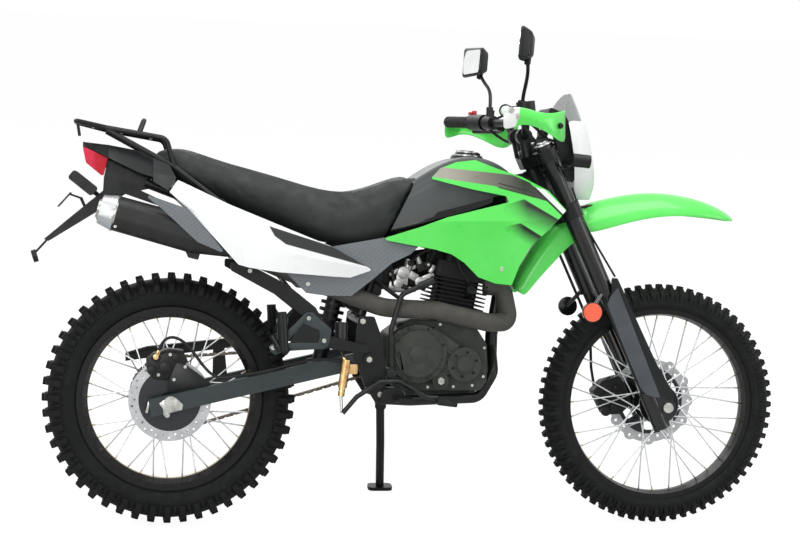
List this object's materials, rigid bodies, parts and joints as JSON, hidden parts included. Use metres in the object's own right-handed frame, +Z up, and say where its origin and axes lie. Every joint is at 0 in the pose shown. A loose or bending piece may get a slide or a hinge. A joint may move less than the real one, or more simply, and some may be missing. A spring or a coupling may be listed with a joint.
{
  "type": "dual sport motorcycle",
  "caption": "Small road and trail motorcycle on its side stand, with turning wheels, steered fork and bars, laced rims, knobby tyres and a rear rack.",
  "frame": {"origin": "middle of the whole machine on the floor it stands on", "axes": "+X forward, +Y to the rider's left, +Z up; the machine leans 9 degrees towards +Y"},
  "size_m": [2.0614, 0.8666, 1.3755],
  "materials": {
    "tyre_rubber": "knobby tread, matt",
    "black_enamel": "satin black enamel",
    "disc_steel": "brushed",
    "chain_steel": "oiled",
    "slate_paint": "satin slate grey",
    "cast_engine": "cast, coated dark grey",
    "exhaust_black": "matt heat-proof black",
    "green_plastic": "gloss bright green",
    "white_plastic": "gloss white",
    "black_plastic": "moulded, satin",
    "grey_plastic": "moulded, slate grey",
    "carbon_look": "woven carbon look",
    "soft_rubber": "ribbed",
    "seat_vinyl": "grained vinyl",
    "zinc_steel": "zinc plated",
    "lamp_glass": "clear",
    "smoked_screen": "smoked",
    "red_lens": "red lens",
    "orange_lens": "orange lens",
    "chrome": "polished"
  },
  "bodies": {
    "chassis": {"brake_pedal": "zinc_steel", "chain": "chain_steel", "chain_guard": "black_plastic", "cylinder": "cast_engine", "engine_case": "cast_engine", "exhaust_header": "exhaust_black", "foot_pegs": "black_enamel", "frame_cover_left": "carbon_look", "frame_cover_right": "carbon_look", "fuel_tank": "black_plastic", "gear_lever": "zinc_steel", "heat_shield": "carbon_look", "intake": "black_plastic", "kick_lever": "zinc_steel", "main_frame": "black_enamel", "muffler": "exhaust_black", "rear_axle": "zinc_steel", "rear_caliper": "black_enamel", "rear_master_cylinder": "zinc_steel", "rear_mudguard": "black_plastic", "rear_rack": "black_enamel", "rear_shock": "black_enamel", "rear_subframe": "black_enamel", "seat": "seat_vinyl", "side_panel_left": "white_plastic", "side_panel_right": "white_plastic", "swingarm": "slate_paint", "tail_cowl": "green_plastic", "tail_lamp": "red_lens", "tank_cap": "chrome", "tank_shroud_left": "green_plastic", "tank_shroud_right": "green_plastic"},
    "steering": {"fork_legs": "black_enamel", "fork_clamps": "black_enamel", "front_axle": "zinc_steel", "handlebar": "black_enamel", "grips": "soft_rubber", "hand_controls": "black_plastic", "mirrors": "black_plastic", "hand_guards": "green_plastic", "headlight_mask": "white_plastic", "headlamp": "lamp_glass", "windscreen": "smoked_screen", "instrument_panel": "black_plastic", "front_indicators": "black_plastic", "front_fender": "green_plastic", "fork_guards": "grey_plastic", "front_caliper": "black_enamel", "fork_reflectors": "orange_lens"},
    "front_wheel": {"front_tyre": "tyre_rubber", "front_wheel": "black_enamel", "front_disc": "disc_steel"},
    "rear_wheel": {"rear_tyre": "tyre_rubber", "rear_wheel": "black_enamel", "rear_disc": "disc_steel", "rear_sprocket": "zinc_steel"},
    "side_stand": {"side_stand": "black_enamel"}
  },
  "joints": [
    {"name": "steering", "type": "hinge", "parent": "chassis", "child": "steering", "pos_m": [0.63687, -0.12617, 0.30547], "axis": [-0.4226, 0.1418, 0.8951], "range_deg": [-40, 40]},
    {"name": "front_wheel", "type": "hinge", "parent": "steering", "child": "front_wheel", "pos_m": [0.69669, -0.12181, 0.33302], "axis": [0, 0.9877, -0.1564], "continuous": true},
    {"name": "rear_wheel", "type": "hinge", "parent": "chassis", "child": "rear_wheel", "pos_m": [-0.65731, -0.12111, 0.33746], "axis": [0, 0.9877, -0.1564], "continuous": true},
    {"name": "side_stand", "type": "hinge", "parent": "chassis", "child": "side_stand", "pos_m": [-0.06131, 0.02384, 0.29375], "axis": [0.0679, 0.9353, 0.3473], "range_deg": [0, 96]}
  ]
}
